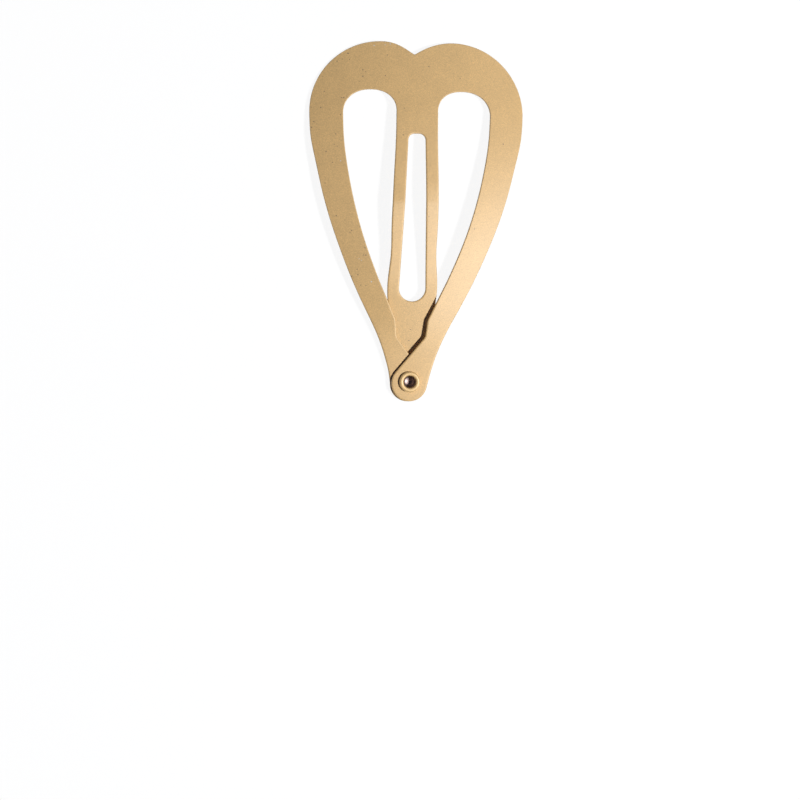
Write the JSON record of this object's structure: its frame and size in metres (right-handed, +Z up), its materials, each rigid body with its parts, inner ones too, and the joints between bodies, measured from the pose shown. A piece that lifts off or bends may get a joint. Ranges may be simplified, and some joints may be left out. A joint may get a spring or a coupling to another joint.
{
  "type": "hair clip",
  "caption": "Heart-shaped snap hair clip pressed from painted spring sheet: a slotted tongue snaps under legs that lap and are riveted at the tip.",
  "frame": {"origin": "centre of the bounding box, at the level of the surface that the closed clip rests on", "axes": "+X across the clip to its right leg, +Y from the riveted tip to the crown, +Z up, towards the side that shows when worn"},
  "size_m": [0.036, 0.06, 0.0037],
  "materials": {
    "gold_paint": "satin champagne gold metallic paint over spring steel",
    "rivet_gold": "smooth satin gold on a drawn rivet"
  },
  "bodies": {
    "crown": {"heart_crown": "gold_paint"},
    "legs": {"left_leg": "gold_paint", "right_leg": "gold_paint", "tip_rivet": "rivet_gold"},
    "tongue": {"tongue": "gold_paint"}
  },
  "joints": [
    {"name": "legs_flexure", "type": "hinge", "parent": "crown", "child": "legs", "pos_m": [0, 0.01785, 0.00127], "axis": [-1, 0, 0], "range_deg": [0, 10]},
    {"name": "tongue_flexure", "type": "hinge", "parent": "crown", "child": "tongue", "pos_m": [0, 0.01785, 0.00226], "axis": [1, 0, 0], "range_deg": [0, 6]}
  ],
  "couplings": [
    {"joint": "tongue_flexure", "follows": "legs_flexure", "ratio": 0.6}
  ]
}
